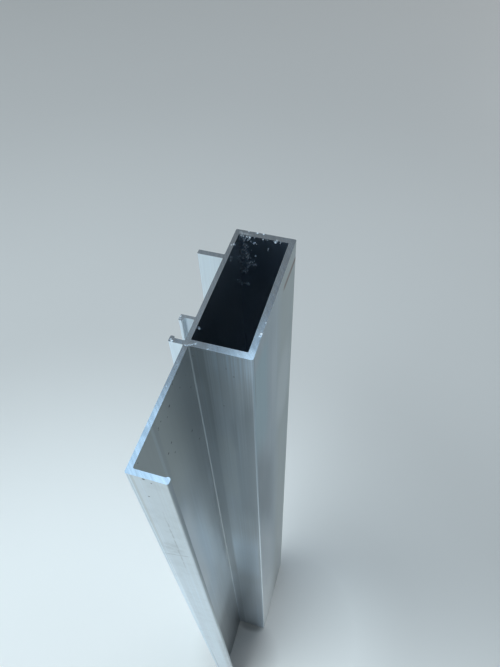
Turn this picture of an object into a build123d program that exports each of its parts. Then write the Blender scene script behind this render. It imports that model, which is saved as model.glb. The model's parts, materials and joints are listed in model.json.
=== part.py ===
# Aluminium extrusion profile, a short length of frame stock: a hollow chamber, a web
# that carries on in line with the chamber's left wall, a lip with a beaded edge at the
# web's far side, a hooked groove for a sealing strip and a plain stop fin.
# Millimetres. Z runs along the profile, which stands on one sawn end.

import os

from build123d import *

# Length between the two square saw cuts
length = 343.0

# Hollow chamber
chamber_width = 20.0
chamber_depth = 48.6
left_wall = 1.5
right_wall = 2.0
front_wall = 2.2
rear_wall = 2.2
hollow_corner_radius = 0.3

# Web, flush with the chamber's left face, and the lip that turns in at its far side
web_reach = 38.9
web_thickness = 1.5
lip_length = 11.2
lip_thickness = 1.6
lip_edge_radius = 0.6
bead_radius = 0.7
bead_rise = 0.3

# Groove for the sealing strip, between two hooked fins
groove_width = 7.6
hooked_fin_length = 4.5
front_fin_thickness = 1.5
rear_fin_thickness = 1.0
hook_width = 1.3
front_hook_rise = 0.65
rear_hook_rise = 1.3
hook_tip_radius = 0.4
hook_root_radius = 0.2

# Stop fin, set back from the rear face of the chamber
stop_fin_length = 8.5
stop_fin_thickness = 1.8
stop_fin_setback = 12.2
stop_fin_edge_radius = 0.3

# Rounding of the outer corners, the channel's inner corners and the roots of the fins
outer_corner_radius = 0.5
channel_corner_radius = 0.5
fin_root_radius = 0.3

# Faces of the section: X from the chamber's left face, Y from its front face
lip_outer_y = -web_reach
lip_inner_y = lip_outer_y + lip_thickness
bead_x = lip_length - bead_radius
bead_y = lip_inner_y + bead_rise - bead_radius
hook_outer_x = -hooked_fin_length
hook_inner_x = hook_outer_x + hook_width
groove_front_y = front_fin_thickness
groove_rear_y = groove_front_y + groove_width
mouth_front_y = groove_front_y + front_hook_rise
mouth_rear_y = groove_rear_y - rear_hook_rise
rear_fin_y = groove_rear_y + rear_fin_thickness
stop_outer_x = -stop_fin_length
stop_rear_y = chamber_depth - stop_fin_setback
stop_front_y = stop_rear_y - stop_fin_thickness

# The origin lies in the middle of the section's outline box, on the lower sawn end
middle_x = (min(stop_outer_x, hook_outer_x) + max(chamber_width, lip_length)) / 2
middle_y = (lip_outer_y + chamber_depth) / 2
section_plane = Plane(origin=(-middle_x, -middle_y, 0))


def bar(left, right, front, rear):
    """A straight stretch of the section between two faces in X and two in Y."""
    with Locations((left, front)):
        Rectangle(right - left, rear - front, align=(Align.MIN, Align.MIN))


def round_corners(radius, *points):
    """Round the corners of the section that lie at the given points."""
    found = [section.vertices().sort_by_distance((x, y, 0))[0] for x, y in points]
    fillet(found, radius=radius)


with BuildPart() as frame_profile:
    with BuildSketch(section_plane) as section:
        # Chamber, still solid, and the web beside it
        bar(0, chamber_width, 0, chamber_depth)
        bar(0, web_thickness, lip_outer_y, front_wall)

        # Lip, with the bead on the side that faces the chamber
        bar(0, bead_x, lip_outer_y, lip_inner_y)
        bar(0, lip_length, lip_outer_y, bead_y)
        with Locations((bead_x, bead_y)):
            Circle(bead_radius)

        # Hooked fins on both sides of the groove
        bar(hook_outer_x, left_wall, 0, groove_front_y)
        bar(hook_outer_x, hook_inner_x, 0, mouth_front_y)
        bar(hook_outer_x, left_wall, groove_rear_y, rear_fin_y)
        bar(hook_outer_x, hook_inner_x, mouth_rear_y, rear_fin_y)

        # Stop fin
        bar(stop_outer_x, left_wall, stop_front_y, stop_rear_y)

        # Outer corners of the chamber, the heel of the lip and the lip's edge
        round_corners(
            outer_corner_radius,
            (chamber_width, 0),
            (chamber_width, chamber_depth),
            (0, chamber_depth),
            (0, lip_outer_y),
        )
        round_corners(lip_edge_radius, (lip_length, lip_outer_y))

        # Inner corners of the channel between the chamber, the web and the lip
        round_corners(channel_corner_radius, (web_thickness, 0), (web_thickness, lip_inner_y))

        # Roots of the fins at the left face
        round_corners(
            fin_root_radius,
            (0, 0),
            (0, groove_front_y),
            (0, groove_rear_y),
            (0, rear_fin_y),
            (0, stop_front_y),
            (0, stop_rear_y),
        )

        # Tips and inner corners of the hooks
        round_corners(
            hook_tip_radius,
            (hook_outer_x, 0),
            (hook_outer_x, mouth_front_y),
            (hook_inner_x, mouth_front_y),
            (hook_inner_x, mouth_rear_y),
            (hook_outer_x, mouth_rear_y),
            (hook_outer_x, rear_fin_y),
        )
        round_corners(
            hook_root_radius, (hook_inner_x, groove_front_y), (hook_inner_x, groove_rear_y)
        )

        # Edge of the stop fin
        round_corners(stop_fin_edge_radius, (stop_outer_x, stop_front_y), (stop_outer_x, stop_rear_y))

        # Hollow of the chamber
        with Locations((left_wall, front_wall)):
            RectangleRounded(
                chamber_width - left_wall - right_wall,
                chamber_depth - front_wall - rear_wall,
                hollow_corner_radius,
                align=(Align.MIN, Align.MIN),
                mode=Mode.SUBTRACT,
            )

    extrude(amount=length)

os.makedirs("parts", exist_ok=True)
frame_profile.part.label = "frame_profile"
export_step(frame_profile.part, "parts/frame_profile.step")
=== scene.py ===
"""Looks for a short length of aluminium frame profile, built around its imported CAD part.

The profile stands on one sawn end. Its lengthwise faces are as the die left them, its
ends are as the saw left them, and a little swarf still clings inside the chamber.
"""

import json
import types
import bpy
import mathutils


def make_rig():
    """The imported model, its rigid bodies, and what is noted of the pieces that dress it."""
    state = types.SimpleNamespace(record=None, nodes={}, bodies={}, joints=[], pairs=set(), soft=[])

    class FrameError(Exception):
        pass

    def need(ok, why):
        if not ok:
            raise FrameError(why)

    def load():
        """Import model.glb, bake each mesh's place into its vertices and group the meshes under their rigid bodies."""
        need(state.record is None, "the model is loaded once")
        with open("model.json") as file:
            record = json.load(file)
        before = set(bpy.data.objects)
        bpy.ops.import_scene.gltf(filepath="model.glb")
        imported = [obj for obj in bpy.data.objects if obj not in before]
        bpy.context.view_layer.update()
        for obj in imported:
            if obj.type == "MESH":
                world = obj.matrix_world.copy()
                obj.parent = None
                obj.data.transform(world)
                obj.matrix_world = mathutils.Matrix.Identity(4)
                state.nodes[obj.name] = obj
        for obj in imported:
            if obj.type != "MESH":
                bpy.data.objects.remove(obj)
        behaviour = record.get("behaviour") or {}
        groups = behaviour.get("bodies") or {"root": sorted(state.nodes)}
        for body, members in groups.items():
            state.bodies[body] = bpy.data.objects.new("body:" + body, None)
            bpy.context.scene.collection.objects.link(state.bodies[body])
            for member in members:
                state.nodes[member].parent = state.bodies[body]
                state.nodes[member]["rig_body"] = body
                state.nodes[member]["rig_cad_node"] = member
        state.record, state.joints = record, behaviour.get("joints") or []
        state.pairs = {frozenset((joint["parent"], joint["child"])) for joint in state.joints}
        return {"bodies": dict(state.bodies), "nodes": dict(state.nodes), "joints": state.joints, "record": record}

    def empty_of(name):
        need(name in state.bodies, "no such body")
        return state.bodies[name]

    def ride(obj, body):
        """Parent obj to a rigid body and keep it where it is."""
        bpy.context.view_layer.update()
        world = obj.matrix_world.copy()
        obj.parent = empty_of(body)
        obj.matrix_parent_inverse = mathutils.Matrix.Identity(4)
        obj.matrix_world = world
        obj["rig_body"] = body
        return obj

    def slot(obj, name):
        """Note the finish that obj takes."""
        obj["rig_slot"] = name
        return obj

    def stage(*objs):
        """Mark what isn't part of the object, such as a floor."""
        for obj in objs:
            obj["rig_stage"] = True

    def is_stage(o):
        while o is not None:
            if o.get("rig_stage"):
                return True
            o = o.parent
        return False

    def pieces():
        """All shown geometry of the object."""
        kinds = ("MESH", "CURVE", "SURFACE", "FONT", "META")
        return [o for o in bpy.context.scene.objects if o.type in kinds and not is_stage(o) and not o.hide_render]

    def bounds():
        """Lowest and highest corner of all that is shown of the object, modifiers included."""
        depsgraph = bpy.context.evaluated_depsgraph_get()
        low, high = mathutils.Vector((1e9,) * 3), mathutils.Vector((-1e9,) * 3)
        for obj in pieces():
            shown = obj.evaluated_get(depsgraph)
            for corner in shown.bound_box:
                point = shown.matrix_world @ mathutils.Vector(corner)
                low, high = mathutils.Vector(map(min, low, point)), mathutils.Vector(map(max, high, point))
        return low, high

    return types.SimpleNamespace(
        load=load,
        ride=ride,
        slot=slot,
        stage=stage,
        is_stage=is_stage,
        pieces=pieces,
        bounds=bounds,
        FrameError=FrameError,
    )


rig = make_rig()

bl_info = {
    "name": "Aluminium Frame Profile",
    "version": (1, 0, 0),
    "blender": (4, 5, 0),
    "location": "3D View > Sidebar > Profile",
    "description": "Finish, swarf, burrs and studio for a sawn length of frame profile",
    "category": "Object",
}

import json
import math
import random

import bmesh
import bpy
from bpy.props import FloatProperty, FloatVectorProperty, IntProperty, PointerProperty
from mathutils import Quaternion, Vector

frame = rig.load()
cad_low, cad_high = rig.bounds()

# Millimetres in Blender's metre
mm = 1000.0

# Sizes of the section in millimetres, with the origin in the middle of its outline.
# The chamber lies to the right of the web's outer face, and the fins to its left.
cut_z = cad_high.z * mm
web_outer_x = -5.75
web_inner_x = -4.25
chamber_right_x = 14.25
chamber_front_y = -4.85
hollow_left_x = -4.25
hollow_right_x = 12.25
hollow_front_y = -2.65
hollow_rear_y = 41.55
lip_outer_y = -43.75
lip_edge_x = 5.45
rear_hook_x = -8.95
rear_hook_y = 3.6


# Settings


def colour_setting(name, description, default):
    return FloatVectorProperty(
        name=name, description=description, subtype="COLOR", size=3, min=0, max=1, default=default
    )


def share_setting(name, description, default):
    return FloatProperty(
        name=name, description=description, subtype="FACTOR", min=0, max=1, default=default
    )


def length_setting(name, description, default):
    return FloatProperty(name=name, description=description, unit="LENGTH", default=default)


def power_setting(name, description, default):
    return FloatProperty(name=name, description=description, unit="POWER", default=default)


class MillFinishSettings(bpy.types.PropertyGroup):
    """Colours and line sizes of the lengthwise faces, as they left the die, and the colours of their painted
    highlights, reflections and shade
    """

    metal_colour: colour_setting("Metal", "Colour of the clean extruded face", (0.69, 0.74, 0.775))
    # Used for bright die lines and for painted highlights and reflections
    bright_line_and_highlight_colour: colour_setting(
        "Bright line", "Colour of the brightest die lines and places", (0.79, 0.90, 1.0)
    )
    # Used for dark die lines and marks, and for painted shade and darker reflections
    dark_line_and_shade_colour: colour_setting(
        "Dark line", "Colour of the darkest lines and marks", (0.405, 0.44, 0.46)
    )
    # Painted highlight and reflection: the pale places on the faces and the paler walls deep in the chamber
    pale_highlight_colour: colour_setting(
        "Pale place", "Colour of the clean, pale places on the faces", (0.95, 0.965, 0.975)
    )
    # Painted reflection: the cooler place beside the front corner
    cool_reflection_colour: colour_setting(
        "Cool band", "Colour of the cooler place beside the front corner", (0.58, 0.73, 0.77)
    )
    # Painted warm reflection on the web, the chamber's walls and the lip
    warm_reflection_colour: colour_setting(
        "Warm band", "Colour of the warmer, greyer places", (0.70, 0.71, 0.66)
    )
    dull_colour: colour_setting(
        "Dull band", "Colour of the bands where the oxide is thicker", (0.58, 0.62, 0.635)
    )
    # Painted shade: the walls inside the chamber, dark and bluish
    inner_shade_colour: colour_setting(
        "Inside",
        "Colour of the walls inside the chamber, which stay dark and bluish",
        (0.44, 0.52, 0.61),
    )
    speck_colour: colour_setting(
        "Speck", "Colour of the dirt caught on the faces", (0.05, 0.05, 0.045)
    )
    rust_colour: colour_setting(
        "Rust mark", "Colour of the brown rub mark on the right-hand face", (0.36, 0.21, 0.18)
    )
    roughness: share_setting("Roughness", "Middle roughness of the lengthwise faces", 0.36)
    fine_pitch: length_setting("Fine line pitch", "Spacing of the fine die lines", 0.0005)
    broad_pitch: length_setting("Broad band pitch", "Spacing of the broad tonal bands", 0.0035)
    line_depth: length_setting("Line depth", "Depth of the die lines", 0.000004)


class SawnEndSettings(bpy.types.PropertyGroup):
    """Colours and blade marks of the two sawn ends"""

    metal_colour: colour_setting("Cut metal", "Colour of the freshly cut metal", (0.82, 0.86, 0.90))
    groove_colour: colour_setting(
        "Blade mark", "Colour in the bottom of the blade marks", (0.62, 0.67, 0.72)
    )
    # Used for torn, matt spots painted bright as glints, and for painted highlights on the sawn ends
    torn_and_glint_colour: colour_setting(
        "Torn spots", "Colour of the matt spots where the metal tore", (0.92, 0.945, 0.97)
    )
    roughness: share_setting("Roughness", "Middle roughness of the sawn face", 0.15)
    blade_radius: length_setting("Blade radius", "Radius of the arcs that the saw blade left", 0.1)
    mark_pitch: length_setting("Blade mark pitch", "Spacing of the blade marks", 0.0008)
    mark_depth: length_setting("Blade mark depth", "Depth of the blade marks", 0.000012)


class SwarfSettings(bpy.types.PropertyGroup):
    """Chips inside the chamber and burrs along its sawn edges"""

    # Painted shade: chips deeper in the chamber are darker
    shaded_chip_colour: colour_setting("Chip", "Colour of the loose chips", (0.42, 0.46, 0.51))
    # Painted light: burrs and chips near the sawn edge are brighter
    lit_burr_colour: colour_setting(
        "Burr", "Colour of the burrs and chips close to the sawn edge", (0.62, 0.68, 0.74)
    )
    chip_length: length_setting("Chip length", "Length of the longest chip", 0.0009)
    chip_width: length_setting("Chip width", "Width of the widest chip", 0.0005)
    seed: IntProperty(
        name="Seed", description="Other numbers scatter the chips differently", default=7
    )


class StudioSettings(bpy.types.PropertyGroup):
    """Floor, lights and camera"""

    floor_colour: colour_setting("Floor", "Colour of the plain floor", (0.95, 0.92, 0.88))
    floor_shade: colour_setting(
        "Floor shade",
        "Colour of the floor far behind, where it is a little darker",
        (0.56, 0.53, 0.505),
    )
    sky_colour: colour_setting(
        "Surroundings", "Colour of the dim, even light from all round", (0.168, 0.19, 0.205)
    )
    # Painted shade: a card that stands for shaded floor and shows only in reflections
    shade_card_colour: colour_setting(
        "Grey card",
        "Colour of the card that the metal mirrors on its right-hand side",
        (0.42, 0.43, 0.43),
    )
    key_colour: colour_setting(
        "Overhead light", "Colour of the wide light overhead", (0.48, 0.745, 1.0)
    )
    side_colour: colour_setting(
        "Side light", "Colour of the wide, soft light at the front left", (0.78, 0.915, 0.99)
    )
    key_power: power_setting("Overhead power", "Power of the wide light overhead", 5.3)
    side_power: power_setting(
        "Side power", "Power of the wide, soft light at the front left", 101.0
    )
    back_power: power_setting(
        "Back power", "Power of the small light at the back right, which opens up the shadow", 8.0
    )


# Shader maths


class Wire:
    """A node's output, so that shader maths reads as Python expressions."""

    def __init__(self, surface, socket):
        self.surface = surface
        self.socket = socket
        self.parts = None

    def maths(self, operation, *inputs):
        """The Math or Vector Math node for an operation on these inputs."""
        wires = [item for item in inputs if isinstance(item, Wire)]
        if any(item.socket.type == "RGBA" for item in wires):
            raise TypeError("colours go through blend()")
        on_vectors = any(item.socket.type == "VECTOR" for item in wires)
        kind = "VectorMath" if on_vectors else "Math"
        if on_vectors:
            inputs = [(item,) * 3 if isinstance(item, (int, float)) else item for item in inputs]
        return self.surface.node(kind, {"operation": operation}, dict(enumerate(inputs)))

    def __add__(self, other):
        return self.maths("ADD", self, other)

    def __radd__(self, other):
        return self.maths("ADD", other, self)

    def __sub__(self, other):
        return self.maths("SUBTRACT", self, other)

    def __rsub__(self, other):
        return self.maths("SUBTRACT", other, self)

    def __mul__(self, other):
        return self.maths("MULTIPLY", self, other)

    def __rmul__(self, other):
        return self.maths("MULTIPLY", other, self)

    def __truediv__(self, other):
        return self.maths("DIVIDE", self, other)

    def __pow__(self, other):
        return self.maths("POWER", self, other)

    def __abs__(self):
        return self.maths("ABSOLUTE", self)

    def at_most(self, other):
        return self.maths("MINIMUM", self, other)

    def at_least(self, other):
        return self.maths("MAXIMUM", self, other)

    def root(self):
        return self.maths("SQRT", self)

    def distance(self, point):
        """How far each place is from a point."""
        settings = {"operation": "DISTANCE"}
        return self.surface.node("VectorMath", settings, {0: self, 1: point}, output="Value")

    def rise(self, start, end):
        """From 0 at start to 1 at end, smoothly, whichever of them is larger."""
        low, high = min(start, end), max(start, end)
        ends = (0.0, 1.0) if start < end else (1.0, 0.0)
        return self.surface.node(
            "MapRange",
            {"interpolation_type": "SMOOTHSTEP"},
            {
                "Value": self,
                "From Min": low,
                "From Max": high,
                "To Min": ends[0],
                "To Max": ends[1],
            },
        )

    def window(self, start, full, fade, end):
        """1 from full to fade, and 0 before start and after end."""
        return self.rise(start, full) * self.rise(end, fade)

    def near(self, middle, core, reach):
        """1 within core of the middle, and 0 beyond reach of it."""
        return abs(self - middle).rise(reach, core)

    def split(self):
        """The three parts of a place, from one node however often they are used."""
        if self.parts is None:
            made = self.surface.node("SeparateXYZ", {}, {"Vector": self}).socket.node
            self.parts = [Wire(self.surface, output) for output in made.outputs]
        return self.parts

    @property
    def x(self):
        return self.split()[0]

    @property
    def y(self):
        return self.split()[1]

    @property
    def z(self):
        return self.split()[2]


class Surface:
    """A material or a world, and the nodes that it is made of."""

    def __init__(self, owner):
        owner.use_nodes = True
        self.owner = owner
        self.tree = owner.node_tree
        self.tree.nodes.clear()

    def node(self, kind, settings, sockets, output=0):
        """Add one node: its settings first, then the values or links of its sockets."""
        made = self.tree.nodes.new("ShaderNode" + kind)
        for name, value in settings.items():
            setattr(made, name, value)
        for name, value in sockets.items():
            socket = self.find(made.inputs, name)
            if isinstance(value, Wire):
                self.tree.links.new(value.socket, socket)
            elif socket.type == "RGBA" and len(value) == 3:
                socket.default_value = (*value, 1.0)
            else:
                socket.default_value = value
        if not made.outputs:
            return None
        return Wire(self, self.find(made.outputs, output))

    def find(self, sockets, name):
        """A node's socket by its name, or by its place among those that are in use."""
        shown = [socket for socket in sockets if socket.enabled]
        if isinstance(name, int):
            return shown[name]
        return next(socket for socket in shown if socket.name == name)

    def vector(self, x, y, z):
        return self.node("CombineXYZ", {}, {"X": x, "Y": y, "Z": z})

    def blend(self, first, second, share):
        """From the first colour to the second, by a share of 0 to 1."""
        settings = {"data_type": "RGBA", "blend_type": "MIX"}
        return self.node("Mix", settings, {"Factor": share, "A": first, "B": second})

    def noise(self, place, seed, detail=2.0):
        """Soft noise of 0 to 1 with one hill or hollow in about each unit of place."""
        sockets = {"Vector": place, "W": seed, "Scale": 1.0, "Detail": detail, "Roughness": 0.5}
        return self.node("TexNoise", {"noise_dimensions": "4D"}, sockets)

    def bump(self, height):
        """Bumps from a height in millimetres."""
        return self.node("Bump", {}, {"Height": height, "Distance": 1.0 / mm})

    def shader(self, sockets):
        return self.node("BsdfPrincipled", {}, sockets)

    def finish(self, shader):
        """Add the output, and give the finished material."""
        self.node("OutputMaterial", {}, {"Surface": shader})
        return self.owner


def new_material(name):
    return Surface(bpy.data.materials.new(name))


def millimetres(surface):
    """Where each point of the object is, in millimetres."""
    return surface.node("TexCoord", {}, {}, output="Object") * mm


def layered(*layers):
    """The sum of some masks, each times how strong it is."""
    parts = [mask * strength for mask, strength in layers]
    total = parts[0]
    for part in parts[1:]:
        total = total + part
    return total


def oval(across, along, middle, reach):
    """The square of how far out each place lies, with 1 on the oval's rim."""
    sideways = ((across - middle[0]) / reach[0]) ** 2.0
    lengthways = ((along - middle[1]) / reach[1]) ** 2.0
    return sideways + lengthways


def darker(colour, share):
    return tuple(channel * share for channel in colour)


# Specks of dirt: place on the face and radius in millimetres


web_specks = (
    (-21.0, 337.1, 0.42),
    (-24.6, 323.1, 0.36),
    (-27.3, 321.6, 0.40),
    (-26.5, 338.3, 0.24),
    (-28.3, 337.9, 0.26),
    (-23.2, 335.0, 0.22),
    (-24.2, 316.3, 0.30),
    (-12.5, 308.4, 0.42),
    (-17.1, 341.9, 0.26),
    (-7.9, 326.6, 0.28),
    (-13.9, 342.2, 0.22),
    (-28.4, 337.1, 0.20),
    (-9.3, 335.0, 0.20),
    (-13.8, 335.3, 0.24),
    (-39.9, 341.1, 0.22),
    (-8.9, 296.6, 0.34),
)
front_wall_specks = (
    (4.2, 315.0, 0.30),
    (8.3, 332.7, 0.32),
    (6.2, 335.9, 0.22),
    (-3.4, 338.5, 0.26),
)
lip_specks = (
    (-0.9, 342.4, 0.42),
    (0.9, 341.1, 0.24),
    (-1.4, 331.7, 0.30),
)

# How dark the specks are on each face
web_darkness = 0.85
front_wall_darkness = 0.35
lip_darkness = 0.8

all_specks = (
    *((web_inner_x, y, z, radius, web_darkness) for y, z, radius in web_specks),
    *((x, chamber_front_y, z, radius, front_wall_darkness) for x, z, radius in front_wall_specks),
    *((x, lip_outer_y, z, radius, lip_darkness) for x, z, radius in lip_specks),
)


# Torn spots on the upper sawn end, painted bright as glints: place and radius in millimetres, and how matt


torn_spots_and_glints = (
    (-5.2, -4.7, 0.40, 0.32),
    (-4.5, -4.6, 0.30, 0.28),
    (-3.9, -4.3, 0.40, 0.30),
    (-3.3, -4.0, 0.28, 0.32),
    (-2.6, -3.6, 0.35, 0.34),
    (-9.3, -4.4, 0.35, 1.00),
    (-9.8, -3.9, 0.25, 0.50),
    (1.2, -4.4, 0.30, 0.30),
    (13.7, 3.7, 0.45, 0.38),
    (13.9, 4.4, 0.45, 1.00),
    (14.1, 8.6, 0.30, 0.38),
    (-9.9, 3.7, 0.45, 0.38),
    (-10.1, 4.4, 0.30, 1.00),
    (-5.0, -11.4, 0.30, 0.08),
    (-5.7, -13.8, 0.35, 0.05),
    (-5.7, -14.6, 0.35, 0.06),
    (-5.7, -15.4, 0.35, 0.05),
    (-5.3, -18.6, 0.30, 0.10),
    (-4.3, 36.7, 0.40, 0.60),
    (-5.0, 36.2, 0.30, 0.50),
    (-3.9, 42.6, 0.50, 0.20),
    (-3.3, 42.2, 0.40, 0.30),
    (-2.4, 42.3, 0.50, 0.22),
    (-1.5, 42.2, 0.50, 0.22),
    (-0.6, 42.2, 0.40, 0.16),
    (-1.5, 43.6, 0.30, 0.70),
    (1.4, 43.6, 0.35, 1.00),
    (3.4, 43.6, 0.30, 1.00),
    (8.3, 41.8, 0.40, 0.38),
)


def spots(place, marks):
    """A mask of round spots, each at its own point and with its own strength."""
    rim, core = 1.25, 0.55
    mask = None
    for x, y, z, radius, strength in marks:
        spot = place.distance((x, y, z)).rise(radius * rim, radius * core) * strength
        mask = mask.at_least(spot) if mask else spot
    return mask


def die_lines(surface, place, pitch, seed, detail=2.0):
    """Noise drawn out along the length, so that it reads as lines from the die."""
    drawn_out = 260.0
    along = place.z / (pitch * drawn_out)
    return surface.noise(surface.vector(place.x / pitch, place.y / pitch, along), seed, detail)


# Extruded faces


def extruded_face(surface, place, settings):
    """The lengthwise faces: die lines, broad bands, marks of handling and dirt, and painted highlights, reflections
    and shade.
    """
    fine_pitch = settings.fine_pitch * mm
    middle_pitch = fine_pitch * 2.6
    cloud_size = 24.0
    grain_size = 0.25
    fine = die_lines(surface, place, fine_pitch, seed=1.0)
    middle = die_lines(surface, place, middle_pitch, seed=2.0)
    broad = die_lines(surface, place, settings.broad_pitch * mm, seed=3.0, detail=1.0)
    cloud = surface.noise(place / cloud_size, seed=4.0, detail=3.0)
    grain = surface.noise(place / grain_size, seed=5.0, detail=1.0)
    depth = cut_z - place.z

    # Broad bands and clouds of thicker oxide over the clean metal
    dullness = layered((broad, 0.45), (middle, 0.35), (cloud, 0.30)) - 0.10
    oxide = dullness.rise(0.15, 0.75) * 0.6
    colour = surface.blend(settings.metal_colour, settings.dull_colour, oxide)

    # Fine bright and dark lines along the length
    bright_lines = fine.rise(0.52, 0.75) * 0.5
    dark_lines = middle.rise(0.5, 0.28) * 0.32
    colour = surface.blend(colour, settings.bright_line_and_highlight_colour, bright_lines)
    colour = surface.blend(colour, settings.dark_line_and_shade_colour, dark_lines)

    # Painted reflection and shade that differ between the faces, and what handling left on them
    for tones in (web_tones, front_wall_tones, right_wall_tones, lip_tones):
        colour = tones(surface, place, depth, colour, settings)

    # The inside of the chamber: painted shade, dark and bluish, paler further down and darker on the left-hand wall
    # near the cut
    start, full = 0.2, 0.1
    left, right = hollow_left_x, hollow_right_x
    front, rear = hollow_front_y, hollow_rear_y
    inside = place.x.window(left - start, left - full, right + full, right + start)
    inside = inside * place.y.window(front - start, front - full, rear + full, rear + start)
    below_edge = depth.rise(5.0, 30.0) * 0.32
    left_wall = place.x.rise(left + 0.3, left) * depth.rise(90.0, 20.0) * 0.7
    inner = surface.blend(settings.inner_shade_colour, settings.pale_highlight_colour, below_edge)
    inner = surface.blend(inner, settings.dark_line_and_shade_colour, left_wall)
    colour = surface.blend(colour, inner, inside)

    # Painted highlight on the fins' front faces, above all on the front one
    fin_highlight = place.x.rise(-6.0, -6.3) * (0.25 + place.y.rise(20.0, 0.0) * 0.25)
    colour = surface.blend(colour, settings.bright_line_and_highlight_colour, fin_highlight)

    # Painted highlight on the inner side of the rear fin's hook
    hook_highlight = place.x.near(rear_hook_x, 0.2, 0.4) * place.y.near(rear_hook_y, 0.7, 0.9)
    colour = surface.blend(colour, settings.pale_highlight_colour, hook_highlight * 0.8)

    # Specks of dirt with ragged edges
    ragged = place + (grain - 0.5) * 0.25
    specks = spots(ragged, all_specks)
    colour = surface.blend(colour, settings.speck_colour, specks)

    # The brown rub mark: a thin, slightly slanting line near the right-hand face's upper end
    rub_depth, rub_start, rub_slope = 6.7, 28.0, 0.06
    rub_line = rub_depth + (place.y - rub_start) * rub_slope
    rub = depth.near(rub_line, 0.3, 1.6) * (0.6 + grain * 0.6)
    rub = rub * place.y.rise(27.0, 29.5) * place.x.rise(13.7, 13.9)
    colour = surface.blend(colour, settings.rust_colour, rub * 0.7)

    roughness = settings.roughness + (middle - 0.5) * 0.16 + (cloud - 0.5) * 0.08
    roughness = roughness + (specks + rub) * 0.25 + inside * depth.rise(15.0, 90.0) * 0.16
    roughness = roughness + hook_highlight * 0.3
    line_depth = settings.line_depth * mm
    speck_height = 0.03
    height = layered((fine, line_depth), (middle, line_depth * 2.0), (specks, speck_height))
    return surface.shader(
        {
            "Base Color": colour,
            "Metallic": 1.0 - inside * depth.rise(12.0, 80.0) * 0.25,
            "Roughness": roughness,
            "Anisotropic": 0.45,
            "Normal": surface.bump(height),
        }
    )


def web_tones(surface, place, depth, colour, settings):
    """The web's inner face, in painted reflection and shade: warm and dull at both ends, dark beside the chamber."""
    on_web = place.x.window(web_outer_x + 0.3, web_outer_x + 0.6, -3.9, -3.6)
    on_web = on_web * place.y.rise(chamber_front_y, chamber_front_y - 0.3)
    # Painted warm reflection at both ends
    both_ends = depth.rise(75.0, 25.0).at_least(place.z.rise(140.0, 60.0))
    colour = surface.blend(colour, settings.warm_reflection_colour, on_web * both_ends * 0.9)

    # Painted shade and darker reflection, with a dark line, each with its strength
    beside_chamber = place.y.rise(-27.0, -9.0)
    upper_part = depth.window(15.0, 45.0, 85.0, 125.0)
    by_chamber_halfway = place.y.rise(-17.0, -11.0) * depth.near(138.0, 20.0, 50.0)
    lighter_corner = place.y.rise(-9.5, -7.5) * depth.near(67.0, 15.0, 35.0)
    dark_line = place.y.near(-29.6, 0.4, 1.2) * depth.rise(50.0, 20.0)
    upper_third, upper_end = depth.rise(100.0, 60.0), depth.rise(45.0, 15.0)
    lower_half, lower_third = place.z.rise(165.0, 90.0), place.z.rise(116.0, 84.0)
    dark = layered(
        (beside_chamber, 0.45),
        (beside_chamber * upper_part, 0.3),
        (upper_third, 0.25),
        (lower_half, 0.5),
        (lower_third, 0.25),
        (upper_end, 0.15),
        (by_chamber_halfway, 0.38),
        (lighter_corner, -0.25),
        (dark_line, 0.2),
    )
    colour = surface.blend(colour, settings.dark_line_and_shade_colour, on_web * dark.at_most(0.9))

    # Painted highlights towards the lip and beside it, and a bright line near the top
    towards_lip = place.y.rise(-14.0, -24.0) * depth.window(60.0, 105.0, 165.0, 210.0)
    bright_line = place.y.near(-31.0, 0.3, 0.9) * depth.rise(60.0, 20.0)
    beside_lip = place.y.rise(-24.0, -28.0) * depth.window(45.0, 70.0, 100.0, 150.0)
    bright = layered((towards_lip, 0.38), (bright_line, 0.2), (beside_lip, 0.35))
    colour = surface.blend(colour, settings.bright_line_and_highlight_colour, on_web * bright)
    # Pale painted highlight on the lip side, part way down
    pale = place.y.rise(-22.0, -29.0) * depth.window(52.0, 75.0, 140.0, 175.0) * 0.75
    colour = surface.blend(colour, settings.pale_highlight_colour, on_web * pale)

    # Painted shade at the foot
    foot_shade_colour = darker(settings.dark_line_and_shade_colour, 0.5)
    foot = place.z.rise(126.0, 92.0) * 0.55
    return surface.blend(colour, foot_shade_colour, on_web * foot)


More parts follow.
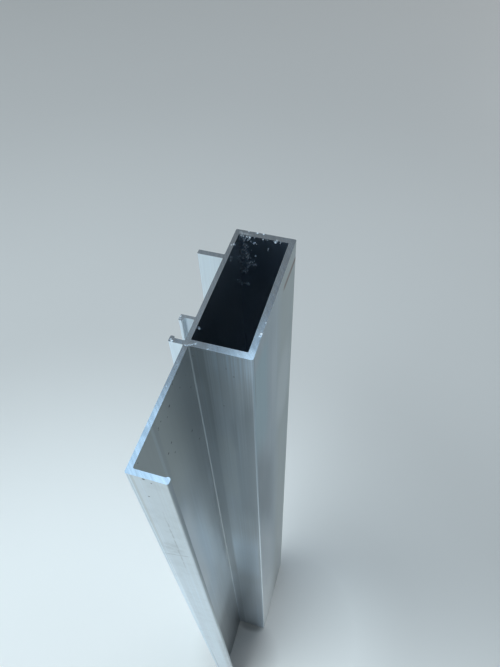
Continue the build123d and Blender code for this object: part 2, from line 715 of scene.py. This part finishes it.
def front_wall_tones(surface, place, depth, colour, settings):
    """The chamber's front wall, in painted shade and reflection: dark beside the web, and bright at its upper edge."""
    on_wall = place.y.near(chamber_front_y, 0.5, 0.7) * place.x.rise(-4.4, -4.2)
    # Painted warm reflection part way down
    warm = place.x.window(-2.0, 2.0, 5.0, 9.0) * depth.near(74.0, 18.0, 34.0)
    colour = surface.blend(colour, settings.warm_reflection_colour, on_wall * warm * 0.4)

    # Painted shade and darker reflection in broad places, over the whole wall and near the foot, then dark streaks and
    # fine lines
    beside_web = place.x.rise(0.5, -0.5)
    upper_part = depth.window(15.0, 45.0, 115.0, 165.0)
    near_foot = place.z.rise(150.0, 60.0) * place.z.rise(10.0, 60.0) * place.x.rise(13.0, 10.0)
    right_half = depth.window(12.0, 35.0, 105.0, 128.0) * place.x.rise(5.5, 7.5)
    upper_right = depth.window(3.0, 12.0, 30.0, 55.0) * place.x.rise(9.5, 12.0)
    lighter_by_web = depth.window(10.0, 22.0, 55.0, 75.0) * place.x.rise(0.0, -1.5)
    off_the_web = depth.window(50.0, 75.0, 105.0, 128.0) * place.x.rise(-1.5, 0.5)
    first_streak = place.x.near(3.1, 0.6, 1.4) * depth.rise(32.0, 8.0)
    second_streak = place.x.near(6.5, 0.6, 1.6) * depth.near(46.0, 5.0, 14.0)
    third_streak = place.x.near(8.1, 0.2, 0.5) * depth.rise(48.0, 14.0)
    lines = die_lines(surface, place, pitch=0.6, seed=7.0, detail=1.0)
    fine_lines = (lines.rise(0.6, 0.4) - 0.6) * depth.rise(100.0, 15.0)
    shade_all_over = 0.06
    dark = shade_all_over + layered(
        (beside_web, 0.36),
        (beside_web * depth.rise(60.0, 120.0), 0.12),
        (near_foot, 0.08),
        (upper_part, 0.35),
        (upper_part * place.x.rise(9.0, 12.5), 0.25),
        (right_half, 0.27),
        (upper_right, 0.42),
        (lighter_by_web, -0.28),
        (off_the_web, 0.12),
        (first_streak, 0.25),
        (second_streak, 0.2),
        (third_streak, 0.25),
        (fine_lines, 0.2),
    )
    colour = surface.blend(colour, settings.dark_line_and_shade_colour, (on_wall * dark).at_most(0.9))

    # Painted highlights: bright lines below the sawn edge and at the lower right, and bright stretches lower down
    upper_edge = place.x.rise(-2.5, 6.0) * depth.rise(20.0, 1.0)
    lower_right = place.z.rise(90.0, 40.0) * place.x.rise(6.0, 12.0) * 0.6
    shine = (upper_edge + lower_right) * (0.35 + lines.rise(0.35, 0.65) * 0.55)
    halfway = depth.near(180.0, 14.0, 45.0) * place.x.window(-1.0, 0.5, 12.4, 13.6)
    shine = shine + layered((place.z.rise(150.0, 110.0), 0.32), (halfway, 0.7))
    return surface.blend(colour, settings.bright_line_and_highlight_colour, (on_wall * shine).at_most(1.0))


def right_wall_tones(surface, place, depth, colour, settings):
    """The chamber's right-hand wall, in painted reflection and shade: cool at the front, warm at the rear, paler lower
    down.
    """
    on_wall = place.x.rise(chamber_right_x - 0.3, chamber_right_x - 0.1)
    # Painted warm reflection at the rear and cool reflection at the upper front
    rear_part = place.y.rise(14.0, 30.0) * 0.7
    colour = surface.blend(colour, settings.warm_reflection_colour, on_wall * rear_part)
    upper_front = place.y.rise(13.0, 5.0) * depth.window(3.0, 12.0, 45.0, 80.0) * 0.75
    colour = surface.blend(colour, settings.cool_reflection_colour, on_wall * upper_front)

    # Painted shade and darker reflection: a slanting one at the front, the lower rear and a line beside the corner
    front_part = place.y.rise(24.0, 8.0)
    slanting = (depth - place.y * 2.0).window(50.0, 80.0, 112.0, 150.0)
    lower_rear = place.y.rise(20.0, 34.0) * place.z.rise(125.0, 85.0)
    rear_foot = place.y.rise(8.0, 30.0) * place.z.rise(90.0, 10.0)
    dark = layered(
        (front_part, 0.1), (front_part * slanting, 0.7), (lower_rear, 0.3), (rear_foot, 0.45)
    )
    beside_corner = place.y.near(-3.7, 0.2, 0.5) * depth.rise(31.0, 22.0) * 0.6
    dark = dark.at_least(beside_corner)
    colour = surface.blend(colour, settings.dark_line_and_shade_colour, on_wall * dark)

    # Painted reflection in paler places: a band down the middle, a patch at the rear and the lower front
    band = place.y.near(17.0, 1.0, 6.0) * depth.near(45.0, 5.0, 40.0) * 0.3
    patch = oval(place.y, depth, (31.0, 65.0), (12.0, 27.0)).rise(1.3, 0.1) * 0.45
    lower_front = (depth - place.y * 3.0).rise(116.0, 168.0) * place.y.rise(30.0, 8.0) * 0.95
    pale = band.at_least(patch).at_least(lower_front)
    colour = surface.blend(colour, settings.pale_highlight_colour, on_wall * pale)
    # Painted warm reflection lower down
    lower_part = place.z.rise(130.0, 30.0) * 0.3
    colour = surface.blend(colour, settings.warm_reflection_colour, on_wall * lower_part)

    # Painted highlight along the rounded corner at the front, paler lower down
    corner = (place.x - place.y).rise(18.3, 18.6)
    corner = corner * place.y.rise(chamber_front_y - 0.4, chamber_front_y - 0.2)
    lower_corner = corner * depth.rise(60.0, 140.0)
    colour = surface.blend(colour, settings.bright_line_and_highlight_colour, corner * 0.3)
    return surface.blend(colour, settings.pale_highlight_colour, lower_corner * 0.12)


def lip_tones(surface, place, depth, colour, settings):
    """The lip: painted highlight and shade, scratches and a smudge on its outer face, and a dark, warm edge of painted
    shade and reflection.
    """
    on_lip = place.y.rise(lip_outer_y + 0.3, lip_outer_y + 0.1)
    toward_edge = place.x.rise(1.5, 4.2)
    clean = 0.12 + depth.rise(10.0, 110.0) * 0.26
    heel = place.x.rise(-4.0, -4.6) * 0.6
    # Painted warm reflection towards the edge, and painted highlight all over, more lower down and at the heel
    colour = surface.blend(colour, settings.warm_reflection_colour, on_lip * toward_edge * 0.2)
    colour = surface.blend(colour, settings.bright_line_and_highlight_colour, on_lip * clean)
    colour = surface.blend(colour, settings.bright_line_and_highlight_colour, on_lip * heel)

    # A long, wandering scratch that breaks off here and there, and two lines at the heel
    wobble = surface.noise(surface.vector(0.0, 0.0, place.z / 9.0), seed=8.0)
    breaks = surface.noise(surface.vector(place.x, 0.0, place.z / 3.0), seed=10.0)
    scratch = place.x.near(0.2 + wobble * 1.6, 0.1, 0.35) * depth.near(46.0, 12.0, 31.0)
    scratch = scratch * breaks.rise(0.3, 0.6)
    heel_lines = abs(place.x + 4.7).near(0.35, 0.05, 0.18) * depth.rise(110.0, 60.0)

    # A smudge with a short scratch across it, and a fine mottle all over
    blotch = surface.noise(place / 2.5, seed=9.0, detail=3.0)
    smudge = oval(place.x, depth, (-0.6, 51.0), (3.4, 6.5)).rise(1.3, 0.2)
    smudge = smudge * blotch.rise(0.35, 0.65)
    cross = (depth + place.x * 0.45).near(57.0, 0.2, 0.7) * abs(place.x).rise(4.4, 3.0)
    mottle = surface.noise(place / 3.5, seed=15.0, detail=4.0).rise(0.45, 0.7)
    # Painted shade, darker near the top and towards the edge, most lower down, together with the mottle, scratches,
    # smudge and lines
    marks = layered(
        (depth.rise(110.0, 50.0), 0.14),
        (toward_edge, 0.04),
        (toward_edge * depth.rise(150.0, 220.0), 0.6),
        (mottle, 0.14),
        (scratch, 0.7),
        (heel_lines, 0.3),
        (smudge, 0.4),
        (cross * blotch.rise(0.3, 0.5), 0.5),
    )
    # Painted shade along the lip's edge
    edge = place.x.rise(lip_edge_x - 0.35, lip_edge_x - 0.05)
    edge = edge * place.y.rise(lip_outer_y + 3.0, lip_outer_y + 2.5) * 0.6
    marks = (on_lip * marks).at_least(edge).at_most(0.8)
    return surface.blend(colour, settings.dark_line_and_shade_colour, marks)


# Sawn ends


def sawn_face(surface, place, settings):
    """The sawn ends: arcs from a blade that came in from the rear right."""
    blade_turn = (0.95, 0.312)
    blade_offset = 60.2
    across = place.x * blade_turn[0] - place.y * blade_turn[1]
    along = place.x * blade_turn[1] + place.y * blade_turn[0]
    radius = settings.blade_radius * mm
    offset = blade_offset - across
    stroke = along + (radius * radius - offset * offset).root()
    pitch = settings.mark_pitch * mm

    def arcs(spacing, length, seed, detail):
        """Noise in arcs, with one in about each spacing and each as long as length."""
        return surface.noise(
            surface.vector(stroke / spacing, across / length, place.z), seed, detail
        )

    marks = arcs(pitch, pitch * 14, seed=11.0, detail=3.0)
    ridges = arcs(pitch * 3, 40.0, seed=12.0, detail=1.0)
    smear = arcs(pitch * 5, 5.0, seed=13.0, detail=2.0)

    # Torn spots at the upper end, where the metal is matt, painted bright as glints
    crumbs = surface.noise(place / 0.3, seed=14.0)
    ragged = place + (crumbs - 0.5) * 0.5
    torn = spots(ragged, [(x, y, cut_z, radius, matt) for x, y, radius, matt in torn_spots_and_glints])

    # The left-hand edges are a little matt
    left_wall = place.x.rise(-3.8, -4.4) * place.y.rise(-6.0, 1.0) * place.y.rise(30.0, 20.0)
    fins = place.x.rise(-5.5, -6.5) * place.y.rise(-3.0, 0.0)
    torn = torn.at_least(layered((left_wall, 0.07), (fins, 0.07)))

    # Painted darker reflection on the web towards the lip, the walls at the front left and beside the corner
    on_web = place.x.rise(-3.9, -4.3)
    toward_lip = layered(
        (place.y.rise(-30.0, -33.5), 0.22),
        (place.y.near(-32.3, 0.8, 2.2), 0.5),
        (place.y.near(-24.5, 2.0, 4.5), 0.15),
    )
    front_left = place.y.rise(-2.4, -2.8) * place.x.window(-4.2, -3.8, 6.0, 9.0)
    beside_corner = place.y.near(0.8, 1.2, 2.6) * place.x.rise(11.9, 12.3)
    dull = toward_lip * on_web + layered((front_left, 0.2), (beside_corner, 0.3))

    # Painted highlight at the front right corner and the lip's outer edge
    clean = place.x.rise(7.5, 10.5) * place.y.rise(-0.8, -2.4)
    clean = clean.at_least(place.x.rise(-1.0, 3.0) * place.y.rise(-41.0, -42.0))

    in_marks = marks.rise(0.3, 0.75) * (1.0 - clean * 0.35)
    colour = surface.blend(settings.metal_colour, settings.torn_and_glint_colour, clean)
    colour = surface.blend(colour, settings.groove_colour, in_marks)
    colour = surface.blend(colour, darker(settings.groove_colour, 0.75), dull)
    colour = surface.blend(colour, settings.torn_and_glint_colour, torn)
    roughness = settings.roughness + (smear - 0.5) * 0.16 + (marks - 0.5) * 0.10
    mark_depth = settings.mark_depth * mm
    height = layered((marks, mark_depth), (ridges, mark_depth * 2.0), (torn * crumbs, 0.05))
    return surface.shader(
        {
            "Base Color": colour,
            "Metallic": 1.0 - torn * 0.8,
            "Roughness": roughness,
            "Normal": surface.bump(height),
        }
    )


def profile_material(mill, sawn):
    """The whole profile: extruded faces along its length and sawn faces at both ends."""
    surface = new_material("mill_finish_and_sawn_ends")
    place = millimetres(surface)
    facing = surface.node("TexCoord", {}, {}, output="Normal")
    at_end = abs(facing.z).rise(0.55, 0.75)
    along = extruded_face(surface, place, mill)
    ends = sawn_face(surface, place, sawn)
    return surface.finish(surface.node("MixShader", {}, {"Fac": at_end, 1: along, 2: ends}))


def chip_material(settings):
    """Torn metal, crumbly and fairly rough, brightest close to the sawn edge by painted light and darker deeper down
    by painted shade.
    """
    surface = new_material("torn_aluminium")
    place = millimetres(surface)
    grain = surface.noise(place / 0.12, seed=21.0)
    crumbs = surface.noise(place / 0.5, seed=22.0, detail=1.0)
    # Painted light near the sawn edge, fading to painted shade deeper down
    below_edge = (cut_z - place.z).rise(0.6, 2.6)
    # Darker at random, in patches
    dark_patches = layered((crumbs, 0.7), (grain, 0.3)).rise(0.38, 0.58) * 0.9
    colour = surface.blend(settings.lit_burr_colour, settings.shaded_chip_colour, below_edge)
    colour = surface.blend(colour, darker(settings.shaded_chip_colour, 0.3), dark_patches)
    grain_height = 0.01
    shader = surface.shader(
        {
            "Base Color": colour,
            "Metallic": 1.0,
            "Roughness": 0.68 + (grain - 0.5) * 0.2,
            "Normal": surface.bump(grain * grain_height),
        }
    )
    return surface.finish(shader)


# Floor and card


def floor_material(settings):
    """A plain, pale, faintly glossy floor, with painted light and shade: a little darker behind and before the foot.
    """
    surface = new_material("plain_pale_floor")
    place = millimetres(surface)
    cloud = surface.noise(place / 180.0, seed=31.0, detail=3.0)
    # Painted light and shade: a pale pool towards the front left that darkens further away, painted light beside the
    # foot, and painted shade further right and before the foot
    from_front_left = place.distance((-90.0, -175.0, 0.0))
    beside_foot = place.distance((40.0, 10.0, 0.0)).rise(85.0, 0.0)
    further_right = place.distance((115.0, 10.0, 0.0)).rise(95.0, 0.0)
    before_foot = place.distance((4.0, -24.0, 0.0)).rise(40.0, 10.0)
    share = layered(
        (from_front_left.rise(170.0, 430.0), 0.72),
        (from_front_left.rise(430.0, 940.0), 0.24),
        (cloud, 0.04),
        (beside_foot, -0.5),
        (further_right, 0.12),
        (before_foot, 0.7),
    )
    share = share.at_least(0.0).at_most(1.0)
    colour = surface.blend(settings.floor_colour, settings.floor_shade, share)

    # The shade where the chamber's front wall meets the floor
    contact = oval(place.x, place.y, (4.0, -5.5), (9.5, 4.5)).rise(1.3, 0.1) * 0.5
    colour = surface.blend(colour, darker(settings.floor_shade, 0.3), contact)
    roughness = 0.5 + (cloud - 0.5) * 0.06
    sockets = {"Base Color": colour, "Roughness": roughness, "Specular IOR Level": 0.2}
    return surface.finish(surface.shader(sockets))


def shade_card_material(settings):
    """A grey card of painted shade, darkest at its front, that fades out round the foot of the profile."""
    surface = new_material("grey_card")
    place = millimetres(surface)
    at_front = place.distance((138.0, -215.0, 0.0)).rise(110.0, 40.0)
    colour = surface.blend(settings.shade_card_colour, darker(settings.shade_card_colour, 0.1), at_front)
    clear_of_foot = place.x.rise(28.0, 50.0) * place.distance((40.0, -50.0, 0.0)).rise(35.0, 90.0)
    sockets = {"Base Color": colour, "Roughness": 0.9, "Alpha": clear_of_foot}
    return surface.finish(surface.shader(sockets))


# Pieces


def curled_chip(mesh, seat, out, heading, length, width, curl):
    """A thin curled strip that leaves its seat along heading and bends outwards."""
    stations = 5
    taper = 0.35
    thickness = width * 0.16
    radius = length / curl
    side = out.cross(heading).normalized()
    rings = []
    for index in range(stations):
        progress = index / (stations - 1)
        angle = curl * progress
        forward = radius * math.sin(angle)
        outward = radius * (1 - math.cos(angle))
        middle = seat + heading * forward + out * outward
        lift = (out * math.cos(angle) - heading * math.sin(angle)) * thickness
        half = side * (width / 2 * (1 - taper * progress))
        ring = (middle - half, middle + half, middle + half + lift, middle - half + lift)
        rings.append([mesh.verts.new(corner) for corner in ring])
    for first, second in zip(rings, rings[1:]):
        for index in range(4):
            following = (index + 1) % 4
            mesh.faces.new((first[index], first[following], second[following], second[index]))
    mesh.faces.new(rings[0][::-1])
    mesh.faces.new(rings[-1])


def flake(mesh, seat, heading, length, width, curl):
    """A curled strip, in millimetres, whose upper side looks up as far as it can."""
    heading = heading.normalized()
    down = (heading * heading.z - Vector((0, 0, 1))).normalized()
    curled_chip(mesh, seat / mm, down, heading, length / mm, width / mm, curl)


def add_piece(name, mesh, material):
    """A piece of the object: it rides on the profile and takes its metal's slot."""
    data = bpy.data.meshes.new(name)
    bmesh.ops.recalc_face_normals(mesh, faces=mesh.faces)
    mesh.to_mesh(data)
    mesh.free()
    data.materials.append(material)
    piece = bpy.data.objects.new(name, data)
    bpy.context.scene.collection.objects.link(piece)
    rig.ride(piece, "root")
    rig.slot(piece, "mill_aluminium")


# Operators


class PROFILE_OT_finish_profile(bpy.types.Operator):
    """Give the profile its extruded faces and its sawn ends"""

    bl_idname = "profile.finish_profile"
    bl_label = "Finish the Profile"

    def execute(self, context):
        node = frame["nodes"]["frame_profile"]
        material = profile_material(context.scene.mill_finish, context.scene.sawn_end)
        node.data.materials.clear()
        node.data.materials.append(material)
        return {"FINISHED"}


class PROFILE_OT_add_burrs(bpy.types.Operator):
    """Leave the burrs that the saw tore along the edges of the hollow"""

    bl_idname = "profile.add_burrs"
    bl_label = "Add Burrs at the Sawn Edge"

    def execute(self, context):
        settings = context.scene.swarf
        rng = random.Random(settings.seed + 1)
        mesh = bmesh.new()
        sunk = 0.03
        rooted = 0.08
        level = cut_z - sunk

        # Rear edge, where the blade left the metal: place, length, width and droop
        rear_burrs = (
            (9.7, 0.8, 0.5, 0.8),
            (8.4, 1.0, 1.0, 0.2),
            (7.6, 0.5, 0.3, 0.7),
            (5.2, 0.5, 0.5, 0.9),
            (4.6, 0.6, 0.3, 1.0),
            (3.8, 0.7, 0.5, 0.9),
            (2.6, 0.6, 0.3, 1.2),
            (1.1, 0.6, 0.5, 1.0),
            (0.0, 1.1, 0.3, 0.8),
            (-0.5, 1.2, 0.6, 0.7),
            (-1.2, 0.8, 0.4, 1.0),
            (-1.6, 0.9, 0.4, 0.8),
            (-2.2, 0.7, 0.4, 1.1),
            (-2.7, 0.9, 0.4, 0.9),
            (-3.2, 0.6, 0.4, 0.4),
            (-3.6, 0.8, 0.4, 0.9),
            (-3.9, 0.5, 0.3, 0.5),
        )
        for x, length, width, droop in rear_burrs:
            seat = Vector((x, hollow_rear_y + rooted, level))
            heading = Vector((rng.uniform(-0.7, 0.7), -math.cos(droop), -math.sin(droop)))
            flake(mesh, seat, heading, length, width, curl=rng.uniform(0.3, 0.9))

        # Left-hand edge: place along it, length, width and droop
        for y, length, width, droop in ((36.7, 0.5, 0.4, 0.25), (39.6, 0.4, 0.3, 0.5)):
            seat = Vector((hollow_left_x - rooted, y, level))
            heading = Vector((math.cos(droop), rng.uniform(-0.4, 0.2), -math.sin(droop)))
            flake(mesh, seat, heading, length, width, curl=rng.uniform(0.3, 0.7))

        # One larger burr stands off the same wall, near the front
        seat = Vector((hollow_left_x - 0.02, 2.75, cut_z - 0.9))
        heading = Vector((0.8, -0.5, -0.15))
        flake(mesh, seat, heading, length=1.0, width=0.9, curl=0.3)

        add_piece("burrs_at_sawn_edge", mesh, chip_material(settings))
        return {"FINISHED"}


class PROFILE_OT_add_swarf(bpy.types.Operator):
    """Scatter the chips that cling to the inside of the chamber"""

    bl_idname = "profile.add_swarf"
    bl_label = "Add Swarf in the Chamber"

    # How far a chip is rooted in its wall, and how near dust comes to a corner or the cut
    rooted = 0.02
    clear_of_corner = 0.2
    clear_of_cut = 0.5

    def execute(self, context):
        settings = context.scene.swarf
        rng = random.Random(settings.seed)
        mesh = bmesh.new()
        rear_wall_y = hollow_rear_y + self.rooted
        left_wall_x = hollow_left_x - self.rooted
        off_rear_wall = Vector((0, -1, 0))
        off_left_wall = Vector((1, 0, 0))

        # Single chips on the rear wall: place across it, and depth below the sawn end
        for x, depth in ((-2.6, 1.8), (-1.3, 1.5), (-0.5, 2.3), (1.1, 2.5), (-2.9, 3.9)):
            seat = Vector((x, rear_wall_y, cut_z - depth))
            self.chip(mesh, rng, settings, seat, off_rear_wall)

        # Single chips on the left-hand wall
        for y, depth in ((33.0, 2.6), (40.4, 4.2), (3.9, 2.8)):
            seat = Vector((left_wall_x, y, cut_z - depth))
            self.chip(mesh, rng, settings, seat, off_left_wall)

        # Tufts of fine dust on the rear wall: place, depth, spread and number of grains
        rear_dust = (
            (-2.6, 1.6, 0.8, 12),
            (-2.6, 4.3, 0.6, 14),
            (-2.9, 6.2, 0.6, 10),
            (-3.8, 7.3, 0.6, 16),
            (-2.0, 7.9, 0.6, 14),
            (-3.4, 9.5, 0.6, 16),
            (-1.5, 9.6, 0.5, 10),
            (-4.0, 12.1, 0.5, 12),
            (-0.9, 11.9, 0.5, 14),
            (0.5, 12.3, 0.5, 12),
            (-1.5, 13.7, 0.5, 6),
            (-3.8, 15.2, 0.6, 14),
            (-3.2, 16.5, 0.6, 16),
            (-2.2, 15.5, 0.5, 6),
            (-3.9, 22.5, 0.4, 5),
            (-2.1, 22.2, 0.4, 5),
            (1.1, 2.5, 0.4, 5),
            (5.5, 4.6, 0.4, 2),
            (-2.6, 8.5, 2.8, 22),
        )
        for across, depth in self.scatter(rng, rear_dust):
            x = max(across, hollow_left_x + self.clear_of_corner)
            seat = Vector((x, rear_wall_y, cut_z - depth))
            self.grain(mesh, rng, seat, off_rear_wall)

        # The same on the left-hand wall, near the corner
        left_dust = (
            (40.6, 4.2, 0.6, 14),
            (40.8, 10.3, 0.6, 14),
            (39.4, 7.5, 1.0, 12),
            (33.0, 2.6, 0.4, 5),
            (37.6, 17.8, 0.4, 6),
        )
        for across, depth in self.scatter(rng, left_dust):
            y = min(across, hollow_rear_y - self.clear_of_corner)
            seat = Vector((left_wall_x, y, cut_z - depth))
            self.grain(mesh, rng, seat, off_left_wall)

        add_piece("swarf_in_chamber", mesh, chip_material(settings))
        return {"FINISHED"}

    def scatter(self, rng, tufts):
        """Where each grain of some tufts lies: its place across the wall and its depth."""
        for middle, depth, spread, count in tufts:
            for _ in range(count):
                across = middle + rng.gauss(0, spread)
                yield across, max(depth + rng.gauss(0, spread), self.clear_of_cut)

    def grain(self, mesh, rng, seat, away):
        """A grain of dust that stands on a wall and leans a little."""
        across = Vector((0, 0, 1)).cross(away)
        heading = away + across * rng.uniform(-0.6, 0.6) + Vector((0, 0, rng.uniform(-0.6, 0.3)))
        size = rng.uniform(0.25, 0.6)
        flake(mesh, seat, heading, length=size, width=size * 0.8, curl=0.4)

    def chip(self, mesh, rng, settings, seat, away):
        """A chip that stands off the wall at an angle of its own."""
        lift = rng.uniform(0.5, 1.2)
        turn = rng.uniform(0, 2 * math.pi)
        across = Vector((0, 0, 1)).cross(away)
        lying = across * math.cos(turn) + Vector((0, 0, 1)) * math.sin(turn)
        heading = away * math.sin(lift) + lying * math.cos(lift)
        length = settings.chip_length * mm * rng.uniform(0.5, 1.0)
        width = settings.chip_width * mm * rng.uniform(0.7, 1.0)
        flake(mesh, seat, heading, length, width, curl=rng.uniform(0.5, 1.4))


class PROFILE_OT_set_stage(bpy.types.Operator):
    """Lay the floor, hang the lights and place the camera"""

    bl_idname = "profile.set_stage"
    bl_label = "Set the Stage"

    def execute(self, context):
        settings = context.scene.studio
        white = (1.0, 1.0, 1.0)
        overhead_turn = math.radians(49.1)
        floor = floor_material(settings)
        self.lay_plane("floor", low=(-6.0, -6.0), high=(6.0, 6.0), level=-0.0001, material=floor)
        self.lay_shade_card(settings)
        self.light_surroundings(context.scene, settings)
        middle = (0.0, 0.0, 0.0)
        below = (0.042, 0.344, 0.0)
        overhead = self.hang_light("overhead_light", (0.042, 0.344, 1.65), aim_at=below, size=1.25)
        overhead.rotation_quaternion = Quaternion((0, 0, 1), overhead_turn)
        self.light_up(overhead, settings.key_power, settings.key_colour)
        side = self.hang_light("side_light", (-1.6, -1.6, 1.8), aim_at=middle, size=3.0)
        self.light_up(side, settings.side_power, settings.side_colour)
        back = self.hang_light("back_light", (0.9, 1.9, 0.9), aim_at=middle, size=1.2)
        self.light_up(back, settings.back_power, white)
        self.place_camera(context.scene)
        return {"FINISHED"}

    def lay_plane(self, name, low, high, level, material):
        mesh = bmesh.new()
        corners = (low, (high[0], low[1]), high, (low[0], high[1]))
        mesh.faces.new([mesh.verts.new((x, y, level)) for x, y in corners])
        data = bpy.data.meshes.new(name)
        mesh.to_mesh(data)
        mesh.free()
        data.materials.append(material)
        plane = bpy.data.objects.new(name, data)
        bpy.context.scene.collection.objects.link(plane)
        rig.stage(plane)
        return plane

    def lay_shade_card(self, settings):
        """The card, of painted shade, shows only in what the metal mirrors."""
        material = shade_card_material(settings)
        low, high = (0.01, -0.45), (0.5, 0.45)
        card = self.lay_plane("grey_card", low, high, level=0.0004, material=material)
        card.visible_camera = False
        card.visible_diffuse = False
        card.visible_shadow = False

    def light_surroundings(self, scene, settings):
        world = bpy.data.worlds.new("surroundings")
        surface = Surface(world)
        glow = surface.node("Background", {}, {"Color": settings.sky_colour, "Strength": 1.0})
        surface.node("OutputWorld", {}, {"Surface": glow})
        scene.world = world

    def hang_light(self, name, place, aim_at, size):
        """A square light that looks at a point and that the camera doesn't see."""
        lamp = bpy.data.lights.new(name, "AREA")
        lamp.shape = "SQUARE"
        lamp.size = size
        light = bpy.data.objects.new(name, lamp)
        light.location = place
        aim = Vector(aim_at) - Vector(place)
        light.rotation_mode = "QUATERNION"
        light.rotation_quaternion = aim.to_track_quat("-Z", "Y")
        light.visible_camera = False
        bpy.context.scene.collection.objects.link(light)
        return light

    def light_up(self, light, power, colour):
        light.data.energy = power
        light.data.color = colour

    def place_camera(self, scene):
        """The camera looks down from the front right, at the photograph's angle."""
        turn = math.radians(-18.749)
        fall = math.radians(51.950)
        roll = math.radians(-2.601)
        level = math.cos(fall)
        aim = Vector((math.sin(turn) * level, math.cos(turn) * level, -math.sin(fall)))
        view = bpy.data.cameras.new("camera")
        view.lens = 30.713
        view.sensor_width = 36.0
        view.clip_start = 0.01
        camera = bpy.data.objects.new("camera", view)
        camera.location = (0.04204, -0.08822, 0.46703)
        camera.rotation_mode = "QUATERNION"
        camera.rotation_quaternion = aim.to_track_quat("-Z", "Y") @ Quaternion((0, 0, 1), roll)
        scene.collection.objects.link(camera)
        scene.camera = camera
        scene.view_settings.view_transform = "Standard"


class PROFILE_PT_steps(bpy.types.Panel):
    """The steps that finish the profile, with their settings"""

    bl_label = "Aluminium Frame Profile"
    bl_idname = "PROFILE_PT_steps"
    bl_space_type = "VIEW_3D"
    bl_region_type = "UI"
    bl_category = "Profile"

    def draw(self, context):
        scene = context.scene
        groups = (
            (PROFILE_OT_finish_profile, scene.mill_finish),
            (None, scene.sawn_end),
            (PROFILE_OT_add_burrs, scene.swarf),
            (PROFILE_OT_add_swarf, None),
            (PROFILE_OT_set_stage, scene.studio),
        )
        for operator, settings in groups:
            box = self.layout.box()
            if operator:
                box.operator(operator.bl_idname)
            for name in settings.bl_rna.properties.keys() if settings else ():
                if name not in ("rna_type", "name"):
                    box.prop(settings, name)


setting_groups = {
    "mill_finish": MillFinishSettings,
    "sawn_end": SawnEndSettings,
    "swarf": SwarfSettings,
    "studio": StudioSettings,
}
classes = (
    *setting_groups.values(),
    PROFILE_OT_finish_profile,
    PROFILE_OT_add_burrs,
    PROFILE_OT_add_swarf,
    PROFILE_OT_set_stage,
    PROFILE_PT_steps,
)


def register():
    for item in classes:
        bpy.utils.register_class(item)
    for name, group in setting_groups.items():
        setattr(bpy.types.Scene, name, PointerProperty(type=group))


def unregister():
    for name in setting_groups:
        delattr(bpy.types.Scene, name)
    for item in reversed(classes):
        bpy.utils.unregister_class(item)


def main():
    """Dress the profile, set the stage and note both sizes."""
    register()
    bpy.ops.profile.finish_profile()
    bpy.ops.profile.add_burrs()
    bpy.ops.profile.add_swarf()
    bpy.ops.profile.set_stage()
    low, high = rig.bounds()
    sizes = {"cad": [list(cad_low), list(cad_high)], "visual": [list(low), list(high)]}
    with open("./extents.json", "w") as file:
        json.dump(sizes, file)


if __name__ == "__main__":
    main()
